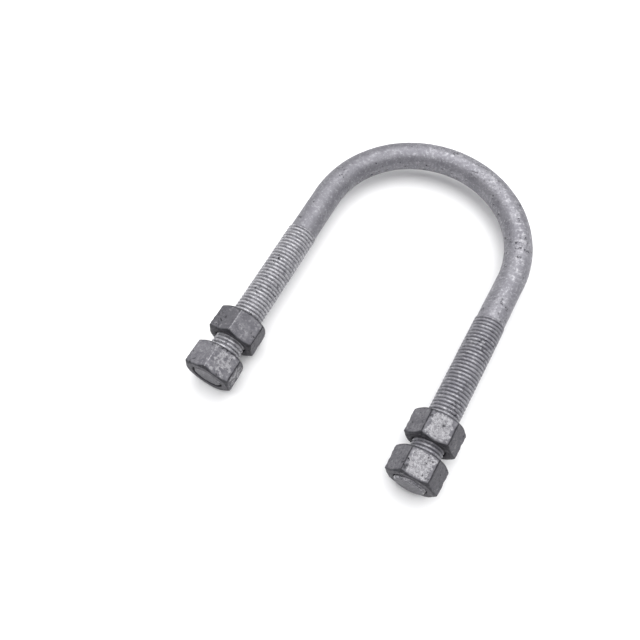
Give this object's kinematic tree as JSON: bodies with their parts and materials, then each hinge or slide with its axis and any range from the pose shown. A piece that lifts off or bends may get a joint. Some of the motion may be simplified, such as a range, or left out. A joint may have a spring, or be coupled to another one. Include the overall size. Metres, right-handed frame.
{
  "type": "u-bolt",
  "caption": "Round bar bent into a U for a pipe, both legs threaded, with hex nuts that clamp a plate or flange between them; hot-dip galvanised.",
  "frame": {"origin": "on the surface under the bolt as it lies flat, halfway between the legs and halfway along the bolt", "axes": "+Z is normal to the plane of the U and along the pipe's axis, +Y points from the legs' ends to the bend, +X is across the legs to the right"},
  "size_m": [0.1694, 0.2301, 0.0346],
  "materials": {
    "galvanised_bar": "matt hot-dip zinc, light to mid grey, with fine dark pits",
    "galvanised_nut": "matt hot-dip zinc, darker grey, with brighter mottled flats and scuffed corners"
  },
  "bodies": {
    "rod": {"bent_rod": "galvanised_bar"},
    "left_inner_nut": {"left_inner_nut": "galvanised_nut"},
    "left_outer_nut": {"left_outer_nut": "galvanised_nut"},
    "right_inner_nut": {"right_inner_nut": "galvanised_nut"},
    "right_outer_nut": {"right_outer_nut": "galvanised_nut"}
  },
  "joints": [
    {"name": "left_inner_nut_travel", "type": "slide", "parent": "rod", "child": "left_inner_nut", "axis": [0, -1, 0], "range_m": [-0.07, 0.0025]},
    {"name": "left_outer_nut_travel", "type": "slide", "parent": "rod", "child": "left_outer_nut", "axis": [0, -1, 0], "range_m": [-0.005, 0.02]},
    {"name": "right_inner_nut_travel", "type": "slide", "parent": "rod", "child": "right_inner_nut", "axis": [0, -1, 0], "range_m": [-0.07, 0.0025]},
    {"name": "right_outer_nut_travel", "type": "slide", "parent": "rod", "child": "right_outer_nut", "axis": [0, -1, 0], "range_m": [-0.0025, 0.0225]}
  ]
}
